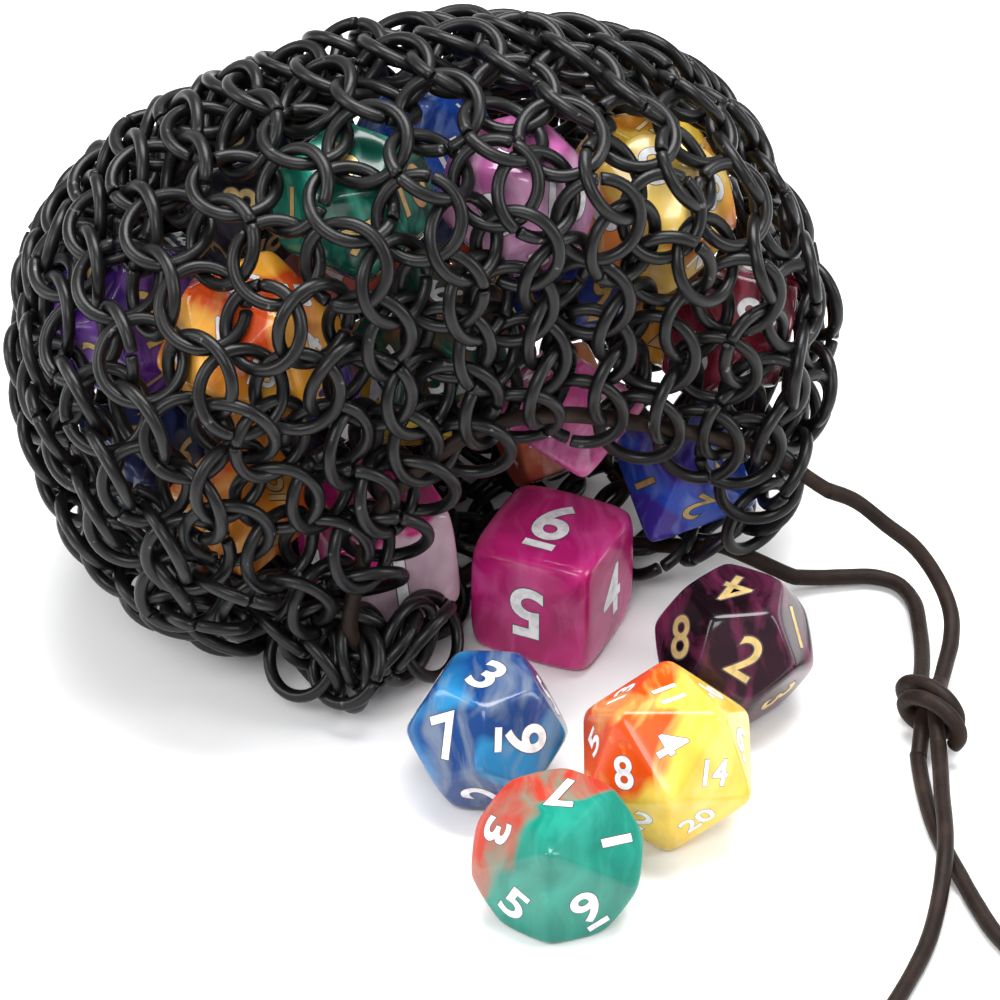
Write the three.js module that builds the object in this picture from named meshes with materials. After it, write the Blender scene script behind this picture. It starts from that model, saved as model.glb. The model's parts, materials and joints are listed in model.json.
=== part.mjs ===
// A drawstring dice bag of woven steel rings, lying on its side, full of dice, mouth open to the front.
// Millimetres, +Z up. The origin is on the surface that the bag rests on, under its middle. +X runs
// across the bag, towards the side where the drawstring leaves it, and the mouth looks towards -Y.

import * as THREE from 'three';

// ---------------------------------------------------------------- driving dimensions
const BAG_HALF_WIDTH = 52;
const BAG_HALF_DEPTH = 47;
const BAG_HALF_HEIGHT = 44.4;
const BAG_MIDDLE = new THREE.Vector3(0.6, 0, 33.8);
const FLOOR_PRESS = 1.2; // how far the bag's weight presses its round underside flat
const BAG_ROUNDNESS = 2.05; // 2 is an ellipsoid, more is boxier
const BLEND_SHARPNESS = 9; // how tightly the weave turns from its floor and its front into its sides
const MAIL_THICKNESS = 2.5; // two leaning courses of rings
const FLAT_UNDER = 0.9; // weave that is this close to the floor lies flat on it
const FRONT_REACH = 26.1; // from the bag's middle to the plane of its mouth
const FRONT_NORMAL = new THREE.Vector3(0.355, -0.935, 0).normalize();
const BACK_REACH = 33.2; // the slack weave slopes away behind the heap of dice
const BACK_NORMAL = new THREE.Vector3(-0.272, 0.83, 0.488).normalize();
const WEAVE_HEART = new THREE.Vector3(6, 0, 24); // the courses of rings circle a line through this point
const MOUTH_EDGE_GAP = 7.2; // from the drawstring to the edge of the woven shell

const RING_RADIUS = 5.0; // to the middle of the wire
const WIRE_DIAMETER = 1.6;
const CORD_DIAMETER = 2.0;

const D6_SIDE = 16; // every other die's radius is from its middle to a corner
const D8_RADIUS = 10.7;
const D10_RADIUS = 10.7;
const D10_TIP = 11.5; // from its middle to the sharp ends
const D12_RADIUS = 10.5;
const D20_RADIUS = 11.7;
const DIE_GAP = 0.1;
const DIE_LIFT = 0.05; // between a die and the floor

const V = (x, y, z) => new THREE.Vector3(x, y, z);
const UP = V(0, 0, 1);
const part = new THREE.Group();

function finish(colour, roughness, metalness) {
  return new THREE.MeshStandardMaterial({ color: colour, roughness, metalness });
}

function addPiece(name, geometry, material, position) {
  const mesh = new THREE.Mesh(geometry, material);
  mesh.name = name;
  if (position) mesh.position.copy(position);
  part.add(mesh);
  return mesh;
}

// ---------------------------------------------------------------- the bag's shape
// bagLevel is 0 at the bag's middle, 1 on its outside and more beyond it. The bag is a rounded
// lump that sits down flat on the floor, slopes away at the back and is cut off by its mouth's plane.
function bagLevel(point) {
  const p = point.clone().sub(BAG_MIDDLE);
  const lump = (
    Math.abs(p.x / BAG_HALF_WIDTH) ** BAG_ROUNDNESS
    + Math.abs(p.y / BAG_HALF_DEPTH) ** BAG_ROUNDNESS
    + Math.abs(p.z / BAG_HALF_HEIGHT) ** BAG_ROUNDNESS
  ) ** (1 / BAG_ROUNDNESS);
  const floor = Math.max(0, -p.z / (BAG_MIDDLE.z + FLOOR_PRESS));
  const front = Math.max(0, p.dot(FRONT_NORMAL) / FRONT_REACH);
  const back = Math.max(0, p.dot(BACK_NORMAL) / BACK_REACH);
  const k = BLEND_SHARPNESS;
  return (lump ** k + floor ** k + front ** k + back ** k) ** (1 / k);
}

function bagSlope(point) {
  const h = 0.05;
  const along = (d) => bagLevel(point.clone().add(d)) - bagLevel(point.clone().sub(d));
  return V(along(V(h, 0, 0)), along(V(0, h, 0)), along(V(0, 0, h))).divideScalar(2 * h);
}

function onBag(direction) {
  let near = 0;
  let far = 120;
  for (let i = 0; i < 40; i += 1) {
    const middle = (near + far) / 2;
    if (bagLevel(WEAVE_HEART.clone().addScaledVector(direction, middle)) < 1) near = middle;
    else far = middle;
  }
  return WEAVE_HEART.clone().addScaledVector(direction, near);
}

// ---------------------------------------------------------------- the mouth
// The mouth is a D standing on the floor. Its arch is held up by the dice, and its sill lies on the
// floor behind the dice that have rolled out. The drawstring runs along this line.
const MOUTH_LINE = [
  V(-5.5, -30, 3.5), V(-6.7, -27, 13), V(-6.1, -29, 22.6), V(-2.7, -28, 31.5), V(8, -25, 38.6),
  V(17, -21, 37.6), V(27.7, -17, 33.2), V(39.7, -12.4, 26.9), V(48.8, -8.1, 19), V(50, -7, 11),
  V(45.5, -4.5, 3), V(36, -1, 1.5), V(26, 2, 1.5), V(15, 2, 1.5), V(6, -1, 1.5), V(0, -12, 1.5),
];
const mouthDirections = MOUTH_LINE.map((p) => p.clone().sub(WEAVE_HEART).normalize());
const mouthCurve = new THREE.CatmullRomCurve3(mouthDirections, true, 'centripetal');
const mouthPoint = (t) => onBag(mouthCurve.getPoint(t).normalize());
const mouthAt = (index) => index / MOUTH_LINE.length;
const CLOSED_END = FRONT_NORMAL.clone().negate();

// The way from the mouth to the closed end, over the bag's outside: s is 0 at the mouth, 1 at the end.
function weavePoint(t, s) {
  const from = mouthCurve.getPoint(t).normalize();
  const turn = from.angleTo(CLOSED_END);
  const a = Math.sin((1 - s) * turn) / Math.sin(turn);
  const b = Math.sin(s * turn) / Math.sin(turn);
  return onBag(from.multiplyScalar(a).addScaledVector(CLOSED_END, b).normalize());
}

// The woven shell: one closed skin, open at the mouth, its underside flat on the floor.
function mailShell() {
  const around = 40;
  const along = 14;
  const outer = [];
  const inner = [];
  const place = (point) => {
    const outside = point.clone();
    if (outside.z < FLAT_UNDER) outside.z = 0;
    const inside = point.clone().addScaledVector(bagSlope(point).normalize(), -MAIL_THICKNESS);
    inside.z = Math.max(MAIL_THICKNESS, inside.z);
    outer.push(outside);
    inner.push(inside);
  };
  for (let j = 0; j < along; j += 1) {
    for (let i = 0; i < around; i += 1) {
      const t = i / around;
      const start = MOUTH_EDGE_GAP / (BAG_HALF_WIDTH * mouthCurve.getPoint(t).angleTo(CLOSED_END));
      place(weavePoint(t, start + (1 - start) * (j / along)));
    }
  }
  place(onBag(CLOSED_END));
  const points = [...outer, ...inner];
  const count = outer.length;
  const pole = count - 1;
  const faces = [];
  for (let i = 0; i < around; i += 1) {
    const next = (i + 1) % around;
    for (let j = 0; j < along - 1; j += 1) {
      const a = j * around + i;
      const b = j * around + next;
      const c = (j + 1) * around + next;
      const d = (j + 1) * around + i;
      faces.push(a, b, c, a, c, d);
      faces.push(count + a, count + c, count + b, count + a, count + d, count + c);
    }
    const last = (along - 1) * around;
    faces.push(last + i, last + next, pole);
    faces.push(count + last + i, count + pole, count + last + next);
    faces.push(i, count + i, count + next, i, count + next, next);
  }
  const geometry = new THREE.BufferGeometry();
  geometry.setAttribute('position', new THREE.Float32BufferAttribute(points.flatMap((p) => [p.x, p.y, p.z]), 3));
  geometry.setIndex(faces);
  return geometry;
}

const blackWire = finish(0x1b1b1d, 0.45, 0.8);
addPiece('mail_body', mailShell(), blackWire);

// ---------------------------------------------------------------- the mouth's own course of rings
// These rings hang from the arch, each turned so that the drawstring passes through it.
const MOUTH_RINGS = 12;
const RING_TURN = THREE.MathUtils.degToRad(48);
const RING_HANG = 1.2; // how far a ring's middle hangs past the drawstring
const ARCH_START = mouthAt(0.35);
const ARCH_END = mouthAt(9.6);

function mouthRing(name, t) {
  const point = mouthPoint(t);
  const along = mouthPoint(t + 0.004).sub(mouthPoint(t - 0.004)).normalize();
  const out = bagSlope(point).normalize();
  const down = along.clone().cross(out).normalize();
  const inward = weavePoint(t, 0.06).sub(point);
  if (down.dot(inward) > 0) down.negate();
  const side = along.clone().multiplyScalar(Math.cos(RING_TURN)).addScaledVector(out, Math.sin(RING_TURN));
  const axis = down.clone().cross(side).normalize();
  const ring = addPiece(
    name,
    new THREE.TorusGeometry(RING_RADIUS, WIRE_DIAMETER / 2, 6, 16),
    blackWire,
    point.addScaledVector(down, RING_HANG),
  );
  ring.quaternion.setFromUnitVectors(UP, axis);
}

// Places along the arch, the same distance apart.
function evenPlaces(from, to, count) {
  const samples = 400;
  const at = (i) => from + (to - from) * (i / samples);
  const travelled = [0];
  for (let i = 1; i <= samples; i += 1) {
    travelled.push(travelled[i - 1] + mouthPoint(at(i)).distanceTo(mouthPoint(at(i - 1))));
  }
  const places = [];
  for (let n = 0; n < count; n += 1) {
    const target = (travelled[samples] * n) / (count - 1);
    places.push(at(travelled.findIndex((d) => d >= target - 1e-6)));
  }
  return places;
}

evenPlaces(ARCH_START, ARCH_END, MOUTH_RINGS).forEach((t, i) => {
  mouthRing(`mouth_ring_${String(i + 1).padStart(2, '0')}`, t);
});

// ---------------------------------------------------------------- the drawstring
// One leather lace: round the mouth through its rings, out at the right of the mouth as two
// strands, into one knot, and on as two tails.
const leather = finish(0x35261f, 0.6, 0);

function lace(name, points, steps) {
  const circle = new THREE.Shape();
  circle.absarc(0, 0, CORD_DIAMETER / 2, 0, 2 * Math.PI);
  const path = new THREE.CatmullRomCurve3(points, false, 'centripetal');
  const geometry = new THREE.ExtrudeGeometry(circle, { steps, curveSegments: 8, extrudePath: path });
  return addPiece(name, geometry, leather);
}

function mouthRun(from, to, count) {
  const points = [];
  for (let i = 0; i <= count; i += 1) {
    const p = mouthPoint(from + (to - from) * (i / count));
    p.z = Math.max(p.z, CORD_DIAMETER / 2 + 0.1);
    points.push(p);
  }
  return points;
}

const LEFT_FOOT = mouthAt(0);
lace('cord_arch', mouthRun(LEFT_FOOT + 0.004, mouthAt(8) - 0.001, 20), 20);
lace('cord_sill', mouthRun(LEFT_FOOT - 0.004, mouthAt(10) - 1 + 0.001, 16), 18);

lace('strand_upper', [
  V(49.3, -8.1, 18.7), V(52.8, -8, 17), V(56.7, -8.9, 14), V(60.5, -9.8, 11), V(63.3, -12.6, 8),
  V(64.6, -16.4, 6), V(64.4, -20.4, 4.8), V(63.4, -24.6, 4.2), V(62.4, -28.7, 4),
], 14);
lace('strand_lower', [
  V(46.1, -4.3, 2.4), V(49, -3.6, 1.8), V(52.5, -3, 1.5), V(56, -2.7, 1.3), V(59, -4, 1.2),
  V(60.8, -7.7, 1.2), V(61.2, -13.6, 1.3), V(61, -20.4, 1.8), V(60, -28.7, 3),
], 14);

const KNOT_MIDDLE = V(61, -33.5, 4.3);
const KNOT_HALF = V(4.6, 4.3, 4.2);
const knotGeometry = new THREE.SphereGeometry(1, 14, 8).rotateX(Math.PI / 2);
knotGeometry.scale(KNOT_HALF.x, KNOT_HALF.y, KNOT_HALF.z);
addPiece('cord_knot', knotGeometry, leather, KNOT_MIDDLE);

lace('tail_front', [
  V(61.6, -38.5, 3.2), V(61.5, -43.9, 3.1), V(61.3, -49, 3.3), V(61.2, -55, 3.6), V(60.8, -60, 3.1),
  V(59.7, -66, 1.4), V(58, -72.5, 1.1), V(55.3, -79.2, 1.1), V(51.5, -87, 1.1), V(47, -96, 1.1),
], 20);
lace('tail_rear', [
  V(59.2, -38.3, 1.2), V(59.4, -43.4, 1.1), V(59.9, -49, 1.1), V(61, -55, 1.1), V(62.6, -60.5, 1.1),
  V(64.2, -66, 1.1), V(66, -71, 1.1), V(69.5, -77, 1.1), V(74.5, -84.5, 1.1), V(80, -92, 1.1),
], 20);

// ---------------------------------------------------------------- dice
// A ten-sided die: two crowns of five kites, one the other turned over.
function d10Geometry(radius, tip) {
  const rise = (tip * (1 - Math.cos(Math.PI / 5))) / (1 + Math.cos(Math.PI / 5));
  const vertices = [0, 0, tip, 0, 0, -tip];
  for (let i = 0; i < 10; i += 1) {
    const a = (i * Math.PI) / 5;
    vertices.push(radius * Math.cos(a), radius * Math.sin(a), i % 2 ? rise : -rise);
  }
  const faces = [];
  for (let i = 0; i < 10; i += 1) {
    const before = 2 + ((i + 9) % 10);
    const here = 2 + i;
    const after = 2 + ((i + 1) % 10);
    if (i % 2 === 0) faces.push(0, before, here, 0, here, after);
    else faces.push(1, here, before, 1, after, here);
  }
  const geometry = new THREE.BufferGeometry();
  geometry.setAttribute('position', new THREE.Float32BufferAttribute(vertices, 3));
  geometry.setIndex(faces);
  return geometry;
}

const dieShapes = {
  d6: { reach: D6_SIDE * 0.8, make: () => new THREE.BoxGeometry(D6_SIDE, D6_SIDE, D6_SIDE) },
  d8: { reach: D8_RADIUS + DIE_GAP, make: () => new THREE.OctahedronGeometry(D8_RADIUS) },
  d10: { reach: D10_TIP - 0.4 + DIE_GAP, make: () => d10Geometry(D10_RADIUS, D10_TIP) },
  d12: { reach: D12_RADIUS + DIE_GAP, make: () => new THREE.DodecahedronGeometry(D12_RADIUS) },
  d20: { reach: D20_RADIUS + DIE_GAP, make: () => new THREE.IcosahedronGeometry(D20_RADIUS) },
};

function addDie(name, kind, colour, position, rotation) {
  const die = addPiece(name, dieShapes[kind].make(), finish(colour, 0.15, 0), position);
  die.quaternion.copy(rotation);
}

// Turns a die so that the face nearest to the given direction lies flat on the floor, then spins it.
function restingOn(kind, faceDirection, spin) {
  const down = faceDirection.clone().normalize();
  const toFloor = new THREE.Quaternion().setFromUnitVectors(down, V(0, 0, -1));
  const turn = new THREE.Quaternion().setFromAxisAngle(UP, THREE.MathUtils.degToRad(spin));
  return turn.multiply(toFloor);
}

// A face's outward direction, worked out from three neighbouring corners of the die's own geometry.
function faceOf(kind) {
  const geometry = dieShapes[kind].make();
  const position = geometry.getAttribute('position');
  const index = geometry.getIndex();
  const corner = (i) => V().fromBufferAttribute(position, index ? index.getX(i) : i);
  const a = corner(0);
  const normal = corner(1).sub(a).cross(corner(2).sub(a)).normalize();
  return { normal, depth: Math.abs(normal.dot(a)) };
}

// Dice that have rolled out lie on a face: [name, kind, colour, x, y, spin in degrees].
const SPILLED = [
  ['die_teal_red', 'd10', 0x2a9c86, 15.5, -64.5, 83],
  ['die_blue_pearl', 'd12', 0x2f5f96, 7.4, -42.6, -3],
  ['die_amber', 'd20', 0xeec45a, 28.6, -48.6, 53],
  ['die_dark_plum', 'd12', 0x33151f, 37.4, -26.0, 44],
  ['die_magenta', 'd6', 0xc22c78, 15.4, -11.8, -24],
];
for (const [name, kind, colour, x, y, spin] of SPILLED) {
  const { normal, depth } = faceOf(kind);
  const rotation = restingOn(kind, normal, spin);
  addDie(name, kind, colour, V(x, y, depth + DIE_LIFT), rotation);
}

// Dice in the mouth sit where they jammed: [name, kind, colour, x, y, z, turn about X, Y and Z in degrees].
const IN_THE_MOUTH = [
  ['die_pink_grey', 'd6', 0xc98aa5, -6.4, -12.4, 13.8, 6, -5, 24],
  ['die_rose', 'd8', 0xcf5590, 17.2, -4.4, 28.2, 20, 10, 12],
  ['die_blue_violet', 'd8', 0x2b4fb0, 31.9, 1.0, 15.2, -36, 25, -93],
];
for (const [name, kind, colour, x, y, z, ...turns] of IN_THE_MOUTH) {
  const euler = new THREE.Euler(...turns.map(THREE.MathUtils.degToRad));
  addDie(name, kind, colour, V(x, y, z), new THREE.Quaternion().setFromEuler(euler));
}

// Dice inside are heaped against the weave: [name, kind, colour, bearing from +X towards +Y, rise
// above level], both in degrees and seen from the bag's middle.
const HEAPED = [
  ['die_cobalt', 'd20', 0x2c4fa8, 146, 67],
  ['die_lemon', 'd10', 0xe8cf4a, 96, 50],
  ['die_flame', 'd8', 0xd9562a, 66, 55],
  ['die_royal_blue', 'd12', 0x2552b5, 35, 36],
  ['die_apricot', 'd10', 0xe8935a, 12, 58],
  ['die_gold_yellow', 'd20', 0xe0b53a, -6, 38],
  ['die_lilac', 'd12', 0xc58ab8, -80, 71],
  ['die_garnet_green', 'd20', 0x4a2320, -52, 43],
  ['die_teal', 'd12', 0x1d6b58, -93, 45],
  ['die_onyx', 'd10', 0x1c1b22, -134, 52],
  ['die_ruby', 'd10', 0xb03038, 164, 40],
  ['die_violet', 'd12', 0x5b2d86, -165, 22],
  ['die_slate', 'd20', 0x3d3f45, 170, 12],
  ['die_graphite', 'd10', 0x34363d, -174, -12],
  ['die_orange', 'd20', 0xdb5424, -133, 20],
  ['die_midnight', 'd8', 0x1d2338, -147, -8],
  ['die_indigo', 'd10', 0x4340a0, -99, 13],
  ['die_tangerine', 'd8', 0xe08a32, -125, -30],
  ['die_wine', 'd10', 0x6e1c26, -28, 20],
  ['die_honey', 'd8', 0xdda53a, 12, 14],
  ['die_sky', 'd12', 0x6aa6cf, 130, 20],
  ['die_coral', 'd10', 0xd9645a, 50, 0],
  ['die_plum', 'd12', 0x5a2150, 100, -35],
];

const WALL_CLEARANCE = MAIL_THICKNESS + 1.75;
const HEAP_ROUNDS = 1100;
const SNUG = 0.964; // a die's corners fit between its neighbours' corners
const ALL_ROUND = [];
for (const x of [-1, 0, 1]) {
  for (const y of [-1, 0, 1]) {
    for (const z of [-1, 0, 1]) if (x || y || z) ALL_ROUND.push(V(x, y, z).normalize());
  }
}

function settle(heap, fixed) {
  for (let round = 0; round < HEAP_ROUNDS; round += 1) {
    for (const die of heap) {
      for (const other of [...heap, ...fixed]) {
        if (other === die) continue;
        const away = die.position.clone().sub(other.position);
        const overlap = (die.reach + other.reach) * SNUG - away.length();
        if (overlap > 0) {
          const share = other.fixed ? overlap : overlap / 2;
          die.position.addScaledVector(away.normalize(), share * 0.6);
          if (!other.fixed) other.position.addScaledVector(away, -share * 0.6);
        }
      }
      for (const way of ALL_ROUND) {
        const feeler = die.position.clone().addScaledVector(way, die.reach + WALL_CLEARANCE);
        const beyond = bagLevel(feeler) - 1;
        if (beyond > 0) die.position.addScaledVector(way, (-beyond / bagSlope(feeler).length()) * 0.5);
      }
      die.position.z = Math.max(die.position.z, die.reach + WALL_CLEARANCE);
    }
  }
}

const fixedDice = [...SPILLED, ...IN_THE_MOUTH].map(([name, kind]) => ({
  fixed: true,
  reach: dieShapes[kind].reach,
  position: part.getObjectByName(name).position,
}));
const heap = HEAPED.map(([name, kind, colour, bearing, rise]) => {
  const [b, e] = [bearing, rise].map(THREE.MathUtils.degToRad);
  const way = V(Math.cos(b) * Math.cos(e), Math.sin(b) * Math.cos(e), Math.sin(e));
  const reach = dieShapes[kind].reach;
  const size = V(BAG_HALF_WIDTH, BAG_HALF_DEPTH, BAG_HALF_HEIGHT).addScalar(-reach - WALL_CLEARANCE);
  const position = BAG_MIDDLE.clone().add(way.multiply(size));
  return { name, kind, colour, reach, position };
});
settle(heap, fixedDice);
heap.forEach((die, i) => {
  const turns = new THREE.Euler(4 + i * 1.7, i * 2.3, i * 0.9);
  addDie(die.name, die.kind, die.colour, die.position, new THREE.Quaternion().setFromEuler(turns));
});

export default part;
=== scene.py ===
import json
import math

import bmesh
import bpy
import numpy as np
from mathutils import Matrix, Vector


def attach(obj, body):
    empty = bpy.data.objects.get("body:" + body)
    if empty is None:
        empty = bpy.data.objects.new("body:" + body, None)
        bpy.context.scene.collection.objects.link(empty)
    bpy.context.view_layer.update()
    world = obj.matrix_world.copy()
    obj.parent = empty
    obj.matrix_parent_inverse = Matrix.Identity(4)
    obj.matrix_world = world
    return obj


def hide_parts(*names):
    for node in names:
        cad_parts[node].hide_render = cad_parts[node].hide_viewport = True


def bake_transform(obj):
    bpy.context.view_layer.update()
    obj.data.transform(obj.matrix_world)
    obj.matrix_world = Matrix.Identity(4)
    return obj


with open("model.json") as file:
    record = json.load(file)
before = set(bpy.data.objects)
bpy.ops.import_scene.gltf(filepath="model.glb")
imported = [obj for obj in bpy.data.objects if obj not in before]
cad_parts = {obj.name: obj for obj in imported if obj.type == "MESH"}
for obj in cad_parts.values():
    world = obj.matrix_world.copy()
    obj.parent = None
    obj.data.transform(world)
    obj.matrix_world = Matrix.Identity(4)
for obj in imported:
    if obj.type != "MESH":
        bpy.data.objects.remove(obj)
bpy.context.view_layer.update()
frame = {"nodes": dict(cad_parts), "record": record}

# ------------------------------------------------------------------ the camera
# It stands in front of the bag and looks down on it, from as far as a long portrait lens needs.
mm = 0.001
LOOK_AT = Vector((8.89, 5.37, 7.40)) * mm
CAMERA_DISTANCE = 620 * mm
CAMERA_ELEVATION = math.radians(36)

camera_data = bpy.data.cameras.new("camera")
camera_data.sensor_width = 36
camera_data.lens = 175.7
camera = bpy.data.objects.new("camera", camera_data)
bpy.context.scene.collection.objects.link(camera)
backwards = Vector((0, -math.cos(CAMERA_ELEVATION), math.sin(CAMERA_ELEVATION)))
camera.location = LOOK_AT + backwards * CAMERA_DISTANCE
camera.rotation_euler = (-backwards).to_track_quat("-Z", "Y").to_euler()
bpy.context.scene.camera = camera

# ------------------------------------------------------------------ the leather lace
# One round lace of waxed dark brown leather, two millimetres thick. It runs round the mouth through
# the rings, leaves it at the right as two strands, goes through one knot and ends as two tails.
LACE_DIAMETER = 2.0 * mm
LACE_SIDES = 14
LACE_STEP = 0.7 * mm


def curve_span(p0, p1, p2, p3, count):
    """Points from p1 towards p2 on the centripetal Catmull-Rom curve through all four."""
    d0, d1, d2 = [np.linalg.norm(b - a) ** 0.5 for a, b in ((p0, p1), (p1, p2), (p2, p3))]
    m1 = ((p1 - p0) / d0 - (p2 - p0) / (d0 + d1) + (p2 - p1) / d1) * d1
    m2 = ((p2 - p1) / d1 - (p3 - p1) / (d1 + d2) + (p3 - p2) / d2) * d1
    t = np.linspace(0, 1, count, endpoint=False)[:, None]
    return ((2 * t**3 - 3 * t**2 + 1) * p1 + (t**3 - 2 * t**2 + t) * m1
            + (3 * t**2 - 2 * t**3) * p2 + (t**3 - t**2) * m2)


def smooth_path(points, step=LACE_STEP):
    """Points a small step apart on the smooth curve through the given points."""
    given = [np.array(p, float) for p in points]
    padded = [2 * given[0] - given[1], *given, 2 * given[-1] - given[-2]]
    spans = [curve_span(*padded[i:i + 4], 40) for i in range(len(given) - 1)]
    fine = np.concatenate(spans + [given[-1][None]])
    travelled = np.concatenate([[0], np.cumsum(np.linalg.norm(np.diff(fine, axis=0), axis=1))])
    steps = max(2, round(travelled[-1] / step))
    even = np.linspace(0, travelled[-1], steps + 1)
    return np.stack([np.interp(even, travelled, fine[:, k]) for k in range(3)], axis=1)


def add_object(name, vertices, faces, material):
    mesh = bpy.data.meshes.new(name)
    mesh.from_pydata([tuple(v) for v in vertices], [], faces)
    mesh.materials.append(material)
    mesh.update()
    mesh.polygons.foreach_set("use_smooth", [True] * len(mesh.polygons))
    piece = bpy.data.objects.new(name, mesh)
    bpy.context.scene.collection.objects.link(piece)
    return piece


def lace_mesh(path, seed, cut_end=False):
    """Vertices and faces of a slightly uneven round lace along a path. A cut end is worn round."""
    rng = np.random.default_rng(seed)
    tangent = np.gradient(path, axis=0)
    tangent /= np.linalg.norm(tangent, axis=1, keepdims=True)
    side = np.cross(tangent[0], (0, 0, 1.0))
    side /= np.linalg.norm(side)
    waver = np.convolve(rng.normal(size=len(path) + 8), np.ones(9) / 9, "valid")
    vertices = []
    for i, (point, along) in enumerate(zip(path, tangent)):
        side = side - along * (side @ along)
        side /= np.linalg.norm(side)
        up = np.cross(along, side)
        left = len(path) - 1 - i
        dome = (0.55, 0.86, 0.97)[left] if cut_end and left < 3 else 1.0
        thick = LACE_DIAMETER / 2 * dome * (1 + 0.05 * waver[i])
        for k in range(LACE_SIDES):
            a = 2 * math.pi * k / LACE_SIDES
            vertices.append(point + thick * (math.cos(a) * side + math.sin(a) * up))
    faces = []
    for i in range(len(path) - 1):
        for k in range(LACE_SIDES):
            a, b = i * LACE_SIDES + k, i * LACE_SIDES + (k + 1) % LACE_SIDES
            faces.append((a, b, b + LACE_SIDES, a + LACE_SIDES))
    faces.append(tuple(reversed(range(LACE_SIDES))))
    faces.append(tuple((len(path) - 1) * LACE_SIDES + k for k in range(LACE_SIDES)))
    return vertices, faces


def new_material(name):
    material = bpy.data.materials.new(name)
    material.use_nodes = True
    tree = material.node_tree
    return material, tree, tree.nodes["Principled BSDF"]


def noise_texture(tree, place, scale, detail):
    """A noise texture's outputs. Its scale is a socket or a constant."""
    node = tree.nodes.new("ShaderNodeTexNoise")
    node.inputs["Detail"].default_value = detail
    tree.links.new(place, node.inputs["Vector"])
    if hasattr(scale, "links"):
        tree.links.new(scale, node.inputs["Scale"])
    else:
        node.inputs["Scale"].default_value = scale
    return node.outputs


def speckle_group():
    """Group: fine height, broad mottling and small worn specks, all from the object's own place in space."""
    group = bpy.data.node_groups.new("worn_surface", "ShaderNodeTree")
    for name, default in (("Grain Scale", 900.0), ("Mottle Scale", 90.0), ("Speck Level", 0.7)):
        socket = group.interface.new_socket(name, in_out="INPUT", socket_type="NodeSocketFloat")
        socket.default_value = default
    for name in ("Grain", "Mottle", "Specks"):
        group.interface.new_socket(name, in_out="OUTPUT", socket_type="NodeSocketFloat")
    nodes, links = group.nodes, group.links
    inputs, outputs = nodes.new("NodeGroupInput"), nodes.new("NodeGroupOutput")
    place = nodes.new("ShaderNodeTexCoord").outputs["Object"]
    grain = noise_texture(group, place, inputs.outputs["Grain Scale"], 3)
    mottle = noise_texture(group, place, inputs.outputs["Mottle Scale"], 5)
    above = nodes.new("ShaderNodeMapRange")
    above.inputs["From Max"].default_value = 0.8
    links.new(noise_texture(group, place, 700, 2)["Fac"], above.inputs["Value"])
    links.new(inputs.outputs["Speck Level"], above.inputs["From Min"])
    for value, name in ((grain["Fac"], "Grain"), (mottle["Fac"], "Mottle"),
                        (above.outputs["Result"], "Specks")):
        links.new(value, outputs.inputs[name])
    return group


worn_surface = speckle_group()


def place_worn_surface(tree, grain, mottle, specks):
    node = tree.nodes.new("ShaderNodeGroup")
    node.node_tree = worn_surface
    for socket, value in zip(node.inputs, (grain, mottle, specks)):
        socket.default_value = value
    return node


def colour_ramp(tree, factor, stops):
    ramp = tree.nodes.new("ShaderNodeValToRGB")
    elements = ramp.color_ramp.elements
    while len(elements) < len(stops):
        elements.new(0.5)
    for element, (position, colour) in zip(elements, stops):
        element.position = position
        element.color = (*colour, 1)
    tree.links.new(factor, ramp.inputs["Fac"])
    return ramp


def value_range(tree, factor, low, high):
    node = tree.nodes.new("ShaderNodeMapRange")
    node.inputs["To Min"].default_value = low
    node.inputs["To Max"].default_value = high
    tree.links.new(factor, node.inputs["Value"])
    return node.outputs["Result"]


def bump(tree, shader, height, strength, distance):
    node = tree.nodes.new("ShaderNodeBump")
    node.inputs["Strength"].default_value = strength
    node.inputs["Distance"].default_value = distance
    tree.links.new(height, node.inputs["Height"])
    tree.links.new(node.outputs["Normal"], shader.inputs["Normal"])


def mottled_material(name, scales, stops):
    """A material whose colour drifts over the surface, with its tree, shader and surface group."""
    material, tree, shader = new_material(name)
    surface = place_worn_surface(tree, *scales)
    ramp = colour_ramp(tree, surface.outputs["Mottle"], stops)
    tree.links.new(ramp.outputs["Color"], shader.inputs["Base Color"])
    return material, tree, shader, surface


def leather_material():
    material, tree, shader, surface = mottled_material("brown_lace_leather", (1400, 260, 0.66), [
        (0.3, (0.009, 0.005, 0.0035)), (0.55, (0.017, 0.009, 0.0065)), (0.8, (0.036, 0.021, 0.015))])
    tree.links.new(value_range(tree, surface.outputs["Mottle"], 0.42, 0.68), shader.inputs["Roughness"])
    shader.inputs["Specular IOR Level"].default_value = 0.16
    bump(tree, shader, surface.outputs["Grain"], 0.6, 0.14 * mm)
    return material


lace_leather = leather_material()

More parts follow.
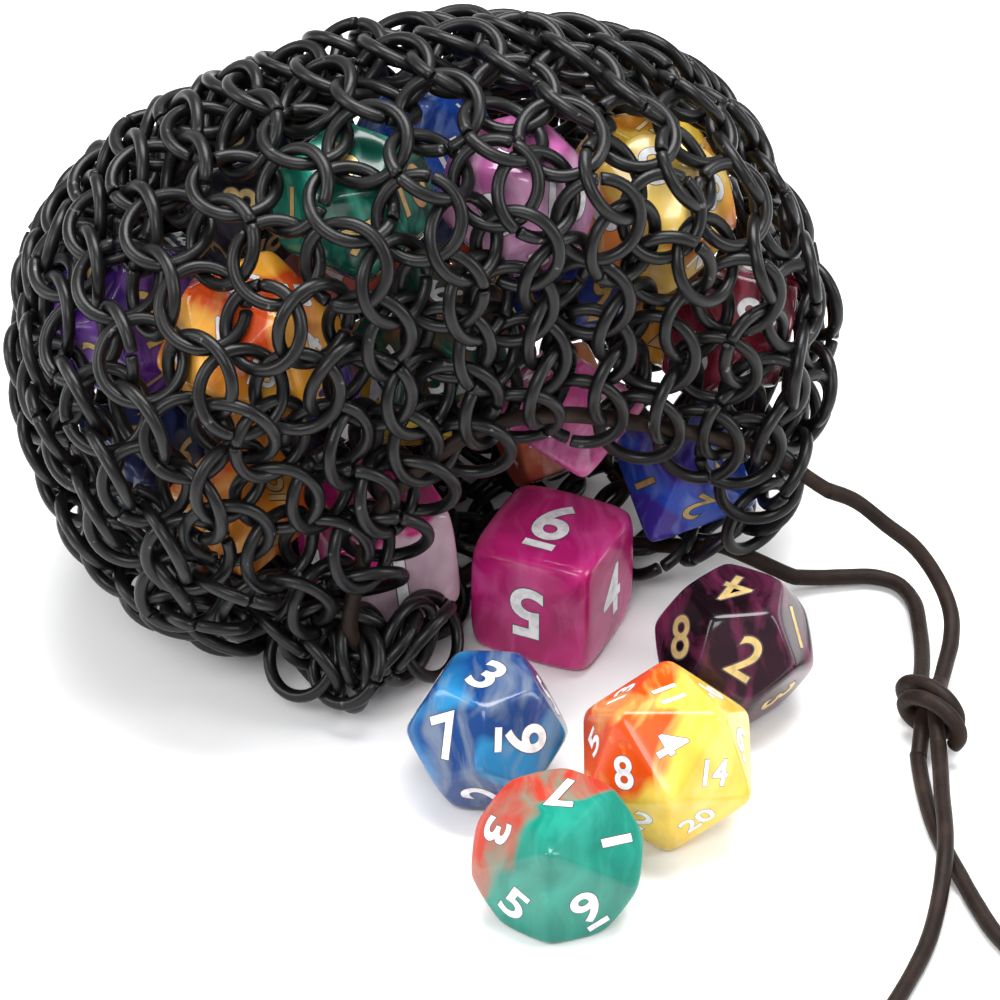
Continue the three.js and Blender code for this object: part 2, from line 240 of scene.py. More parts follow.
# The lace's line round the mouth, and its free lengths, in millimetres.
MOUTH_LINE = [
    (-5.5, -30, 3.5), (-6.7, -27, 13), (-6.1, -29, 22.6), (-2.7, -28, 31.5), (8, -25, 38.6),
    (17, -21, 37.6), (27.7, -17, 33.2), (39.7, -12.4, 26.9), (48.8, -8.1, 19), (50, -7, 11),
    (45.5, -4.5, 3), (36, -1, 1.5), (26, 2, 1.5), (15, 2, 1.5), (6, -1, 1.5), (0, -12, 1.5),
]
FREE_LENGTHS = {
    "strand_upper": [
        (49.3, -8.1, 18.7), (52.8, -8, 17), (56.7, -8.9, 14), (60.5, -9.8, 11), (63.3, -12.6, 8),
        (64.6, -16.4, 6), (64.4, -20.4, 4.8), (63.4, -24.6, 4.2), (62.4, -28.7, 4),
    ],
    "strand_lower": [
        (46.1, -4.3, 2.4), (49, -3.6, 1.8), (52.5, -3, 1.5), (56, -2.7, 1.3), (59, -4, 1.2),
        (60.8, -7.7, 1.2), (61.2, -13.6, 1.3), (61, -20.4, 1.8), (60, -28.7, 3),
    ],
    "tail_front": [
        (61.6, -38.5, 3.2), (61.5, -43.9, 3.1), (61.3, -49, 3.3), (61.2, -55, 3.6), (60.8, -60, 3.1),
        (59.7, -66, 1.4), (58, -72.5, 1.1), (55.3, -79.2, 1.1), (51.5, -87, 1.1), (47, -96, 1.1),
    ],
    "tail_rear": [
        (59.2, -38.3, 1.2), (59.4, -43.4, 1.1), (59.9, -49, 1.1), (61, -55, 1.1), (62.6, -60.5, 1.1),
        (64.2, -66, 1.1), (66, -71, 1.1), (69.5, -77, 1.1), (74.5, -84.5, 1.1), (80, -92, 1.1),
    ],
}
for seed, (name, points) in enumerate(FREE_LENGTHS.items()):
    path = smooth_path(np.array(points) * mm)
    piece = add_object(f"lace_{name}", *lace_mesh(path, seed, name.startswith("tail")), lace_leather)
    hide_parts(name)
    if name.startswith("strand"):
        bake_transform(piece)
    else:
        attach(piece, "drawstring")

# ------------------------------------------------------------------ the knot
# Both strands come in at the top, are wrapped twice by a turn of the same lace that slants down to
# the right, and leave at the bottom as the tails. The wraps are pulled tight and flatten each other.
KNOT_MIDDLE = np.array((61.0, -33.5, 4.3)) * mm
WRAP_RADIUS = 2.85 * mm
WRAP_SLANT = 0.78
WRAP_PITCH = 3.0 * mm
knot_vertices, knot_faces = [], []


def add_knot_run(points, seed):
    vertices, faces = lace_mesh(smooth_path(np.array(points), step=0.4 * mm), seed)
    first = len(knot_vertices)
    knot_vertices.extend(vertices)
    knot_faces.extend(tuple(first + v for v in face) for face in faces)


# Seen from above, the wraps cross the front from the upper left to the lower right, twice.
wrap = []
for turn in np.linspace(-0.3, 1.6, 26):
    a = 2 * math.pi * turn
    across = WRAP_RADIUS * 1.08 * -math.cos(a)
    height = WRAP_RADIUS * 0.9 * math.sin(a)
    back = (0.6 - turn) * WRAP_PITCH - across * WRAP_SLANT
    wrap.append(KNOT_MIDDLE + np.array((across, back, height)))
add_knot_run(wrap, 11)
front_run = [(62.5, -27.9, 4.1), (62.0, -30.6, 4.7), (61.5, -33.5, 4.9), (61.5, -36.4, 4.2), (61.6, -39.2, 3.2)]
rear_run = [(60.1, -27.9, 2.9), (60.3, -31.2, 3.3), (60.0, -34.4, 2.8), (59.3, -38.9, 1.25)]
add_knot_run(np.array(front_run) * mm, 12)
add_knot_run(np.array(rear_run) * mm, 13)
knot = add_object("lace_knot", knot_vertices, knot_faces, lace_leather)
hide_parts("cord_knot")
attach(knot, "drawstring")

# ------------------------------------------------------------------ the bag of linked rings
# European four-in-one mail: each ring of 1.6 mm wire passes through four others. The rows run from the
# mouth to the closed end and lean to the left and to the right in turn, so the weave gathers at the lace.
RING_RADIUS = 5.0
WIRE = 1.6
WIRE_GAP = 1.55  # rings settle with their wires this far apart, middle to middle
BAG_HALF = np.array((52.0, 47.0, 44.4))
BAG_MIDDLE = np.array((0.6, 0.0, 33.8))
BAG_ROUNDNESS = 2.05
BLEND_SHARPNESS = 9
FLOOR_PRESS = 1.2
FRONT_NORMAL = np.array((0.355, -0.935, 0.0)) / math.hypot(0.355, 0.935)
FRONT_REACH = 26.1
BACK_NORMAL = np.array((-0.272, 0.83, 0.488)) / math.hypot(0.272, 0.83, 0.488)
BACK_REACH = 33.2
WEAVE_HEART = np.array((6.0, 0.0, 24.0))
CLOSED_END = np.array((-28.0, 26.0, 28.0))
ROWS = 56
ARCH_RINGS = 12
STEPS = 10.6  # rings of one row between the mouth and the closed end
HANG = 2.6  # from the lace to the middle of the first ring
DEPTH = 3.3  # the rings' middles lie this far inside the bag's outside
WAIST = 0.42
FEWER_BELOW = 2.0  # the sill's rows are half as many up to this course


def unit(v):
    return v / np.linalg.norm(v, axis=-1, keepdims=True)


def bag_level(point):
    """0 at the bag's middle and 1 on its outside: a lump flattened by the floor, its mouth and its back."""
    p = point - BAG_MIDDLE
    lump = (np.abs(p / BAG_HALF) ** BAG_ROUNDNESS).sum(-1) ** (1 / BAG_ROUNDNESS)
    floor = np.maximum(0, -p[..., 2] / (BAG_MIDDLE[2] + FLOOR_PRESS))
    front = np.maximum(0, p @ FRONT_NORMAL / FRONT_REACH)
    back = np.maximum(0, p @ BACK_NORMAL / BACK_REACH)
    k = BLEND_SHARPNESS
    return (lump**k + floor**k + front**k + back**k) ** (1 / k)


def bag_slope(point, h=0.05):
    return np.stack([bag_level(point + h * e) - bag_level(point - h * e) for e in np.eye(3)], -1) / (2 * h)


def on_bag(direction):
    near, far = np.zeros(direction.shape[:-1]), np.full(direction.shape[:-1], 120.0)
    for _ in range(32):
        middle = (near + far) / 2
        inside = bag_level(WEAVE_HEART + direction * middle[..., None]) < 1
        near, far = np.where(inside, middle, near), np.where(inside, far, middle)
    return WEAVE_HEART + direction * near[..., None]


mouth_directions = unit(np.array(MOUTH_LINE, float) - WEAVE_HEART)
around_mouth = range(len(mouth_directions))
mouth_fine = np.concatenate([
    curve_span(*[mouth_directions[(i + k) % len(mouth_directions)] for k in (-1, 0, 1, 2)], 64)
    for i in around_mouth])


def weave_point(t, s):
    """The point of the bag's outside at t round the mouth, s of the way from the mouth to the closed end."""
    x = (np.asarray(t) % 1) * len(mouth_fine)
    i = np.floor(x).astype(int)
    f = (x - i)[..., None]
    a = unit(mouth_fine[i % len(mouth_fine)] * (1 - f) + mouth_fine[(i + 1) % len(mouth_fine)] * f)
    b = unit(CLOSED_END)
    s = np.asarray(s)[..., None]
    turn = np.arccos(np.clip((a * b).sum(-1), -1, 1))[..., None]
    return on_bag(unit((np.sin((1 - s) * turn) * a + np.sin(s * turn) * b) / np.sin(turn)))


def even_places(t0, t1, count, s=0.0):
    samples = np.linspace(t0, t1, 401)
    points = weave_point(samples, np.full(401, s))
    travelled = np.concatenate([[0], np.cumsum(np.linalg.norm(np.diff(points, axis=0), axis=1))])
    return np.interp(np.linspace(0, travelled[-1], count), travelled, samples)


# Where each row starts at the mouth, and where it crosses the waist.
ARCH_FROM, ARCH_TO = 0.35 / 16, 9.6 / 16
arch_rows = list(range(0, 2 * ARCH_RINGS - 1, 2))
sill_rows = [j for j in range(2 * ARCH_RINGS, ROWS) if j % 4 < 2] + [ROWS]
at_mouth = np.interp(
    np.arange(ROWS + 1), arch_rows + [2 * ARCH_RINGS - 1] + sill_rows,
    np.concatenate([even_places(ARCH_FROM, ARCH_TO, ARCH_RINGS),
                    even_places(ARCH_TO, ARCH_FROM + 1, len(sill_rows) + 2)[1:]]))
waist_even = even_places(0, 1, ROWS + 1, WAIST)


def turned_waist(shift):
    x = np.arange(ROWS + 1) / ROWS + shift
    return np.interp(x % 1, np.linspace(0, 1, ROWS + 1), waist_even) + np.floor(x)


at_waist = min((turned_waist(shift) for shift in np.linspace(-0.2, 0.2, 81)),
               key=lambda places: ((places - at_mouth) ** 2).sum())


def row_place(row, s):
    """t of a row, or of a place between rows, at s of the way to the closed end."""
    whole = np.floor(row / ROWS)
    k = np.clip(np.asarray(s) / WAIST, 0, 1)
    k = k * k * (3 - 2 * k)
    rows = np.arange(ROWS + 1)
    within = row - whole * ROWS
    return np.interp(within, rows, at_mouth) * (1 - k) + np.interp(within, rows, at_waist) * k + whole


# Courses from the mouth to the closed end: (course, [(row, place among the rows, rows' spacing)]).
# Odd rows are half a ring behind even ones, and towards the closed end pairs of rows are left out.
courses = []
for half in range(17):
    few = half / 2 < FEWER_BELOW
    chosen = [j for j in range(half % 2, ROWS, 2) if not few or j < 2 * ARCH_RINGS or j % 4 < 2]
    courses.append((half / 2, [(j, j, 2 if few and j >= 2 * ARCH_RINGS else 1) for j in chosen]))
fourteen = [8 * (m // 2) + m % 2 for m in range(14)]
eight = [fourteen[4 * (m // 2) + m % 2] for m in range(8)]
courses += [
    (8.5, [(j, j + 0.5, 2) for j in range(ROWS) if j % 4 == 1]),
    (9.0, [(j, j, 2) for j in range(ROWS) if j % 4 == 0]),
    (9.5, [(j, 4 * m + 1.7, 4) for m, j in enumerate(fourteen) if j % 2 == 1]),
    (10.0, [(j, 7 * m + 1.7, 7) for m, j in enumerate(eight) if j % 2 == 0]),
]
ring_course = np.array([course for course, rings in courses for _ in rings])
ring_row, ring_place, ring_spacing = np.array([ring for _, rings in courses for ring in rings]).T
ring_count = len(ring_course)

# Each ring's place along its row, by length, and the plane that it leans in.
s_grid = np.linspace(0, 1, 121)
row_points = weave_point(row_place(ring_place[:, None], s_grid[None]), np.repeat(s_grid[None], ring_count, 0))
row_lengths = np.cumsum(np.linalg.norm(np.diff(row_points, axis=1), axis=-1), axis=1)
row_lengths = np.concatenate([np.zeros((ring_count, 1)), row_lengths], axis=1)
ring_along = HANG + ring_course * (row_lengths[:, -1] - HANG) / STEPS
ring_s = np.array([np.interp(ring_along[i], row_lengths[i], s_grid) for i in range(ring_count)])


def lattice(place, s):
    return weave_point(row_place(place, s), s)


outside = lattice(ring_place, ring_s)
outward = unit(bag_slope(outside))
along = lattice(ring_place, np.clip(ring_s + 0.01, 0, 1)) - lattice(ring_place, np.clip(ring_s - 0.01, 0, 1))
along = unit(along - (along * outward).sum(-1, keepdims=True) * outward)
across = np.cross(along, outward)
rows_apart = np.linalg.norm(lattice(ring_place + 0.5, ring_s) - lattice(ring_place - 0.5, ring_s), axis=-1)
spacing = rows_apart * ring_spacing
lean = np.radians(np.clip(30 + (5.6 - spacing) * 4, 26, 46)) * np.where(ring_row % 2 == 0, 1, -1)
ring_y = np.cos(lean)[:, None] * across + np.sin(lean)[:, None] * outward
ring_z = np.cross(along, ring_y)
shingle = math.radians(8)
ring_x = unit(math.cos(shingle) * along
              + math.sin(shingle) * ring_z * np.sign((ring_z * outward).sum(1, keepdims=True)))
ring_middle = outside - outward * DEPTH

# Slack rings stand bunched on the lace at the left foot of the mouth, one against the next.
SLACK = 9
fan = np.linspace(0, 1, SLACK)[:, None]
slack_middle = np.array((-12.5, -33.5, 5.4)) * (1 - fan) + np.array((-1.5, -28.5, 5.3)) * fan
slack_middle[:, 1] -= 2.6 * np.sin(math.pi * fan[:, 0])
slack_turn = np.radians(np.linspace(-38, 46, SLACK))
slack_lean = np.radians(np.array([14, -8, 20, 4, -16, 12, -4, 18, -10]))
slack_x = np.stack([np.sin(slack_turn), np.cos(slack_turn), 0 * slack_turn], -1)
slack_y = np.stack([np.sin(slack_lean) * np.cos(slack_turn), -np.sin(slack_lean) * np.sin(slack_turn),
                    np.cos(slack_lean)], -1)
ring_middle = np.concatenate([ring_middle, slack_middle])
ring_x, ring_y = np.concatenate([ring_x, slack_x]), np.concatenate([ring_y, slack_y])
ring_course = np.concatenate([ring_course, np.full(SLACK, -1.0)])
ring_row = np.concatenate([ring_row, np.arange(SLACK)])
ring_count += SLACK

# Which rings pass through which: neighbours in rows next to each other, half a course apart.
links = set()
by_course = {}
for i in range(ring_count):
    by_course.setdefault(ring_course[i], {})[int(ring_row[i])] = i
for course, here in by_course.items():
    there = by_course.get(course + 0.5, {})
    rows = sorted(set(here) | set(there))
    for j in here:
        k = rows.index(j)
        for neighbour in (rows[(k + 1) % len(rows)], rows[k - 1]):
            if neighbour in there:
                links.add((min(here[j], there[neighbour]), max(here[j], there[neighbour])))

# The dice that the rings lie on, as the planes of their faces.
die_planes = []
for name, node in sorted(frame["nodes"].items()):
    if not name.startswith("die_"):
        continue
    corners = np.array([v.co for v in node.data.vertices]) / mm
    normals = np.array([p.normal for p in node.data.polygons])
    depths = np.array([normals[p.index] @ corners[p.vertices[0]] for p in node.data.polygons])
    die_planes.append((corners.mean(0), np.round(normals, 4), depths))


def turned(v, w):
    """Vectors v turned about w, by w's length in radians."""
    angle = np.linalg.norm(w, axis=1, keepdims=True)
    k = w / np.maximum(angle, 1e-12)
    kept = k * (k * v).sum(1, keepdims=True)
    return v * np.cos(angle) + np.cross(k, v) * np.sin(angle) + kept * (1 - np.cos(angle))


NEAR_DIE = 19  # a ring whose middle is further than this from a die's middle can't reach it
MOST_SHIFT, MOST_TWIST = 0.35, 0.07  # of a ring in one round, in millimetres and radians
EAGERNESS = 1.3  # each round takes its push this many times, so that the rings settle sooner
PULL_IN, PUSH_OUT = 0.12, 0.03  # share of the way back to the bag's outside in one round


def settle_rings(middle, x, y, rounds):
    """Lets the rings shift and turn as stiff bodies until their wires stop running into each other,
    into the dice and into the floor, while each stays threaded through its own neighbours."""
    z = np.cross(x, y)
    z_rest = z.copy()
    around = np.linspace(0, 2 * math.pi, 24, endpoint=False)
    c, s = np.cos(around)[None, :, None], np.sin(around)[None, :, None]
    inertia = RING_RADIUS**2 * 0.55
    for step in range(rounds):
        if step % 12 == 0:
            apart = np.linalg.norm(middle[:, None] - middle[None], axis=-1) + 99 * np.eye(len(middle))
            one, two = np.where(apart < 2 * RING_RADIUS + WIRE_GAP + 0.4)
            linked = np.array([(min(a, b), max(a, b)) in links for a, b in zip(one, two)])
            close_dice = [np.where(np.linalg.norm(middle - die[0], axis=1) < NEAR_DIE)[0] for die in die_planes]
        wire = middle[:, None] + RING_RADIUS * (c * x[:, None] + s * y[:, None])
        shift, twist = np.zeros_like(middle), np.zeros_like(middle)

        def push(a, b, at_a, at_b, way, amount):
            arm_a, arm_b = np.cross(at_a - middle[a], way), -np.cross(at_b - middle[b], way)
            share = amount / (2 + ((arm_a**2).sum(-1) + (arm_b**2).sum(-1)) / inertia)
            np.add.at(shift, a, way * share[:, None])
            np.add.at(shift, b, -way * share[:, None])
            np.add.at(twist, a, arm_a / inertia * share[:, None])
            np.add.at(twist, b, arm_b / inertia * share[:, None])

        # A linked ring crosses its neighbour's plane once well inside it and once well outside it.
        a, b = one[linked], two[linked]
        level = ((middle[a] - middle[b]) * z[b]).sum(-1)
        cx, cy = RING_RADIUS * (x[a] * z[b]).sum(-1), RING_RADIUS * (y[a] * z[b]).sum(-1)
        half = np.arccos(np.clip(-level / np.maximum(np.hypot(cx, cy), 1e-9), -1, 1))
        crossings = []
        for sign in (1, -1):
            angle = np.arctan2(cy, cx) + sign * half
            out = np.cos(angle)[:, None] * x[a] + np.sin(angle)[:, None] * y[a]
            crossings.append(middle[a] + RING_RADIUS * out)
        reach = np.array([np.linalg.norm(p - middle[b], axis=-1) for p in crossings])
        crossings = np.array(crossings)
        inner = np.argmin(reach, 0)
        every = np.arange(len(a))
        for which, goal, sign in ((inner, RING_RADIUS - WIRE_GAP, -1), (1 - inner, RING_RADIUS + WIRE_GAP, 1)):
            point, distance = crossings[which, every], reach[which, every]
            miss = np.clip((goal - distance) * sign, 0, 1.2)
            push(a, b, point, point, sign * (point - middle[b]) / np.maximum(distance, 1e-6)[:, None], miss)

        # Any two wires keep their distance.
        offset = wire[one] - middle[two][:, None]
        flat = offset - (offset * z[two][:, None]).sum(-1, keepdims=True) * z[two][:, None]
        flat_length = np.maximum(np.linalg.norm(flat, axis=-1, keepdims=True), 1e-6)
        nearest = middle[two][:, None] + RING_RADIUS * flat / flat_length
        gap = wire[one] - nearest
        distance = np.linalg.norm(gap, axis=-1)
        deep = np.clip(WIRE_GAP - distance, 0, None)
        touching, spot = np.where(deep > 0)
        shared = (deep > 0).sum(1)[touching]
        push(one[touching], two[touching], wire[one][touching, spot], nearest[touching, spot],
             gap[touching, spot] / np.maximum(distance[touching, spot], 1e-6)[:, None],
             deep[touching, spot] / shared * 0.5)

        # Wires lie on the dice, not in them.
        for (heart, normals, depths), near in zip(die_planes, close_dice):
            if len(near) == 0:
                continue
            points = wire[near]
            beyond = points @ normals.T - depths
            face = beyond.argmax(-1)
            sunk = np.clip(WIRE / 2 + 0.1 - beyond.max(-1), 0, 1.0)
            who, spot = np.where(sunk > 0)
            way = normals[face[who, spot]]
            amount = sunk[who, spot] * 0.12
            arm = np.cross(points[who, spot] - middle[near][who], way)
            np.add.at(shift, near[who], way * amount[:, None])
            np.add.at(twist, near[who], arm / inertia * amount[:, None])

        # Wires lie on the floor, not in it.
        under = np.clip(WIRE / 2 + 0.05 - wire[..., 2], 0, 1.5)
        shift[:, 2] += under.max(1) * 0.5
        arm = np.cross(wire - middle[:, None], (0, 0, 1.0))
        twist += (arm * under[..., None]).sum(1) / inertia * 0.25

        shift *= np.minimum(1, MOST_SHIFT / np.maximum(np.linalg.norm(shift, axis=1, keepdims=True), 1e-9))
        twist *= np.minimum(1, MOST_TWIST / np.maximum(np.linalg.norm(twist, axis=1, keepdims=True), 1e-9))
        slope = bag_slope(middle)
        steep = np.linalg.norm(slope, axis=1, keepdims=True)
        off = (bag_level(middle) - 1)[:, None] / steep + DEPTH
        back = slope / steep * np.clip(off, -3, 3) * np.where(off > 0, PULL_IN, PUSH_OUT)
        middle = middle + shift * EAGERNESS - back
        turn = twist * EAGERNESS + np.cross(z, z_rest) * 0.01
        x, y = unit(turned(x, turn)), turned(y, turn)
        y = unit(y - (y * x).sum(1, keepdims=True) * x)
        z = np.cross(x, y)
    return middle, x, y


ring_middle, ring_x, ring_y = settle_rings(ring_middle, ring_x, ring_y, rounds=200)
ring_z = np.cross(ring_x, ring_y)

RING_SECTIONS = 40
RING_SIDES = 12
SEAM = 0.35  # the slit where the two cut ends of a ring meet
MISMATCH = 0.16  # how far the ends may miss each other
LIP_SHARES = (1, 0.85, 0.65, 0.45, 0.27, 0.12, 0.04)  # how far each half course follows the mouth's lip
ring_rng = np.random.default_rng(41)
ring_seam = ring_rng.uniform(0, 2 * math.pi, ring_count)
ring_miss = ring_rng.uniform(-MISMATCH, MISMATCH, ring_count)
ring_size = RING_RADIUS * (1 + ring_rng.uniform(-0.012, 0.012, ring_count))


def rings_mesh(chosen):
    """Vertices and faces of the chosen rings, each an open loop of wire whose cut ends nearly meet."""
    slit = SEAM / RING_RADIUS / 2
    rounds = np.concatenate([[slit, slit + 0.03], np.linspace(slit, 2 * math.pi - slit, RING_SECTIONS)[1:-1],
                             [2 * math.pi - slit - 0.03, 2 * math.pi - slit]])
    thick = np.full(len(rounds), WIRE / 2)
    thick[[0, -1]] *= 0.8
    drift = np.linspace(-1, 1, len(rounds)) ** 3
    sides = np.linspace(0, 2 * math.pi, RING_SIDES, endpoint=False)
    vertices, faces = [], []
    for i in chosen:
        angle = rounds + ring_seam[i]
        out = np.cos(angle)[:, None] * ring_x[i] + np.sin(angle)[:, None] * ring_y[i]
        heart = ring_middle[i] + ring_size[i] * out + (drift * ring_miss[i])[:, None] * ring_z[i]
        tube = heart[:, None] + thick[:, None, None] * (
            np.cos(sides)[None, :, None] * out[:, None] + np.sin(sides)[None, :, None] * ring_z[i])
        first = len(vertices) * len(rounds) * RING_SIDES
        vertices.append(tube.reshape(-1, 3) * mm)
        for a in range(len(rounds) - 1):
            for b in range(RING_SIDES):
                c = first + a * RING_SIDES
                d = (b + 1) % RING_SIDES
                faces.append((c + b, c + b + RING_SIDES, c + d + RING_SIDES, c + d))
        faces.append(tuple(first + b for b in range(RING_SIDES)))
        faces.append(tuple(first + (len(rounds) - 1) * RING_SIDES + b for b in reversed(range(RING_SIDES))))
    return np.concatenate(vertices), faces


def mix_colours(tree, factor, a, b, blend="MIX"):
    node = tree.nodes.new("ShaderNodeMix")
    node.data_type, node.blend_type = "RGBA", blend
    for socket, value in (("Factor", factor), ("A", a), ("B", b)):
        if hasattr(value, "links"):
            tree.links.new(value, node.inputs[socket])
        else:
            node.inputs[socket].default_value = value
    return node.outputs["Result"]


def wire_material():
    material, tree, shader = new_material("black_satin_wire")
    surface = place_worn_surface(tree, 1800, 320, 0.7)
    dark = colour_ramp(tree, surface.outputs["Mottle"], [
        (0.35, (0.003, 0.003, 0.0033)), (0.6, (0.0055, 0.0055, 0.006)), (0.8, (0.010, 0.010, 0.0105))])
    worn = mix_colours(tree, surface.outputs["Specks"], dark.outputs["Color"], (0.16, 0.155, 0.15, 1))
    tree.links.new(worn, shader.inputs["Base Color"])
    tree.links.new(value_range(tree, surface.outputs["Mottle"], 0.26, 0.44), shader.inputs["Roughness"])
    shader.inputs["Specular IOR Level"].default_value = 0.3
    bump(tree, shader, surface.outputs["Grain"], 0.25, 0.06 * mm)
    return material


satin_wire = wire_material()


def add_rings(name, chosen, stands_for=("mail_body",)):
    """A piece of the chosen rings, their cut ends left flat, and the height of its top."""
    vertices, faces = rings_mesh(chosen)
    piece = add_object(name, vertices, faces, satin_wire)
    for polygon in piece.data.polygons:
        polygon.use_smooth = len(polygon.vertices) == 4
    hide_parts(*stands_for)
    return piece, float(vertices[:, 2].max())


slack, _ = add_rings("mail_slack_foot", np.where(ring_course < 0)[0])
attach(slack, "bag")
for half, (course, _) in enumerate(courses):
    here = np.where(ring_course == course)[0]
    lip = here[ring_row[here] < 2 * ARCH_RINGS] if half < len(LIP_SHARES) else here[:0]
    rest = np.setdiff1d(here, lip)
    if len(lip):
        own_course = [f"mouth_ring_{i + 1:02d}" for i in range(ARCH_RINGS)]
        piece, top = add_rings(f"mail_course_{half:02d}_arch", lip, own_course if half == 0 else ["mail_body"])
        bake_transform(piece)
    piece, _ = add_rings(f"mail_course_{half:02d}_{'sill' if len(lip) else 'round'}", rest)
    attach(piece, "bag")

# ------------------------------------------------------------------ the lace round the mouth
# Inside the weave the lace runs through every ring of the mouth: over the arch, and back along the
# floor under the sill. The rings hold it all the way.
LACE_DEPTH = 2.3  # how far inside the bag's outside the rings hold the lace
for name, t0, t1, leaves, seed in (("arch", 0.004, 0.485, FREE_LENGTHS["strand_upper"][:2], 21),
                                   ("sill", -0.004, 10 / 16 - 1 + 0.02, FREE_LENGTHS["strand_lower"][:2], 22)):
    run = weave_point(np.linspace(t0, t1, 34), np.zeros(34))
    run = run - unit(bag_slope(run)) * LACE_DEPTH
    run[:, 2] = np.maximum(run[:, 2], 1.1)
    leaves = np.array(leaves)
    run = np.concatenate([run[:-1:2], leaves[:1], leaves[:1] + unit(leaves[1:] - leaves[:1]) * 0.6])
    piece = add_object(f"lace_{name}", *lace_mesh(smooth_path(run * mm), seed), lace_leather)
    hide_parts(f"cord_{name}")
    if name == "arch":
        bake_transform(piece)
    else:
        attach(piece, "bag")

# ------------------------------------------------------------------ the dice
# Cast resin polyhedral dice, two or three pearly colours stirred together and tumbled until the edges
# are round. Their numerals are engraved and filled with white or gold paint. Here each numeral is drawn
# as a thin plate of paint over a slightly larger dark rim, which is painted shade of the engraving.
BAND_EDGES = (0.47, 0.53)  # between these the first colour turns into the second
STIR = 0.011
MARBLE_SCALE = 85
PEARL = 0.55
GATHER_STEEPNESS = 55


def linear(hexadecimal):
    channels = [(hexadecimal >> shift & 255) / 255 for shift in (16, 8, 0)]
    return *[c / 12.92 if c <= 0.04045 else ((c + 0.055) / 1.055) ** 2.4 for c in channels], 1


def calculate(tree, operation, *values, kind="ShaderNodeVectorMath", output="Vector"):
    """A maths node's output. Each value is a socket or a constant, and None leaves its input alone."""
    node = tree.nodes.new(kind)
    node.operation = operation
    for socket, value in zip(node.inputs, values):
        if hasattr(value, "links"):
            tree.links.new(value, socket)
        elif value is not None:
            socket.default_value = value
    return node.outputs[output]


def marble_group():
    """Group: soft bands of stirred resin and the fine pearl flow in them, in the die's own space."""
    group = bpy.data.node_groups.new("stirred_resin", "ShaderNodeTree")
    group.interface.new_socket("Place", in_out="INPUT", socket_type="NodeSocketVector")
    for name, default in (("Scale", 70.0), ("Stir", 0.012)):
        group.interface.new_socket(name, in_out="INPUT", socket_type="NodeSocketFloat").default_value = default
    for name in ("Bands", "Flow", "Clouds"):
        group.interface.new_socket(name, in_out="OUTPUT", socket_type="NodeSocketFloat")
    nodes, links = group.nodes, group.links
    inputs, outputs = nodes.new("NodeGroupInput"), nodes.new("NodeGroupOutput")

    scale = inputs.outputs["Scale"]
    stir = noise_texture(group, inputs.outputs["Place"], scale, 1.5)
    centred = calculate(group, "SUBTRACT", stir["Color"], (0.5, 0.5, 0.5))
    push = calculate(group, "SCALE", centred, None, None, inputs.outputs["Stir"])
    pushed = calculate(group, "ADD", inputs.outputs["Place"], push)
    stretched = calculate(group, "MULTIPLY", pushed, (5.0, 1.0, 1.6))
    for name, at, size, detail in (("Bands", pushed, scale, 1.0), ("Flow", stretched, scale, 4.0),
                                   ("Clouds", pushed, 190, 2.5)):
        links.new(noise_texture(group, at, size, detail)["Fac"], outputs.inputs[name])
    return group


stirred_resin = marble_group()


def resin_material(name, middle, colours, gathered):
    """Stirred resin: colours[0] and colours[1] in bands, colours[2] in the fine flow. gathered is a
    direction and an offset: colours[1] gathers on that side of the die."""
    material, tree, shader = new_material(name)
    place = tree.nodes.new("ShaderNodeTexCoord")
    local = calculate(tree, "SUBTRACT", place.outputs["Object"], middle)
    marble = tree.nodes.new("ShaderNodeGroup")
    marble.node_tree = stirred_resin
    marble.inputs["Scale"].default_value = MARBLE_SCALE
    marble.inputs["Stir"].default_value = STIR
    tree.links.new(calculate(tree, "ADD", local, [v * 3.7 for v in middle]), marble.inputs["Place"])
    band = marble.outputs["Bands"]
    if gathered is not None:
        direction, offset = gathered
        side = Vector(direction).normalized() * GATHER_STEEPNESS
        towards = calculate(tree, "DOT_PRODUCT", local, side, output="Value")
        leaning = calculate(tree, "ADD", towards, offset, kind="ShaderNodeMath", output="Value")
        band = calculate(tree, "ADD", leaning, band, kind="ShaderNodeMath", output="Value")
    mask = colour_ramp(tree, band, [(BAND_EDGES[0], (0, 0, 0)), (BAND_EDGES[1], (1, 1, 1))])
    streaks = colour_ramp(tree, marble.outputs["Flow"], [(0.47, (0, 0, 0)), (0.66, (PEARL, PEARL, PEARL))])
    base = mix_colours(tree, mask.outputs["Color"], linear(colours[0]), linear(colours[1]))
    pearled = mix_colours(tree, streaks.outputs["Color"], base, linear(colours[2]))
    depth = colour_ramp(tree, marble.outputs["Clouds"], [(0.3, (0.74, 0.74, 0.74)), (0.65, (1, 1, 1))])
    shaded = mix_colours(tree, 1, pearled, depth.outputs["Color"], "MULTIPLY")
    tree.links.new(shaded, shader.inputs["Base Color"])
    tree.links.new(value_range(tree, marble.outputs["Flow"], 0.12, 0.24), shader.inputs["Roughness"])
    shader.inputs["Specular IOR Level"].default_value = 0.36
    shader.inputs["Coat Weight"].default_value = 0.12
    shader.inputs["Coat Roughness"].default_value = 0.08
    return material


def paint_material(name, colour, metallic, roughness):
    dull, bright = [tuple(min(1, c * k) for c in colour) for k in (0.72, 1.08)]
    material, tree, shader, surface = mottled_material(
        name, (2600, 900, 0.75), [(0.3, dull), (0.55, colour), (0.8, bright)])
    rough = value_range(tree, surface.outputs["Mottle"], roughness, roughness + 0.2)
    tree.links.new(rough, shader.inputs["Roughness"])
    shader.inputs["Metallic"].default_value = metallic
    bump(tree, shader, surface.outputs["Grain"], 0.35, 0.05 * mm)
    return material


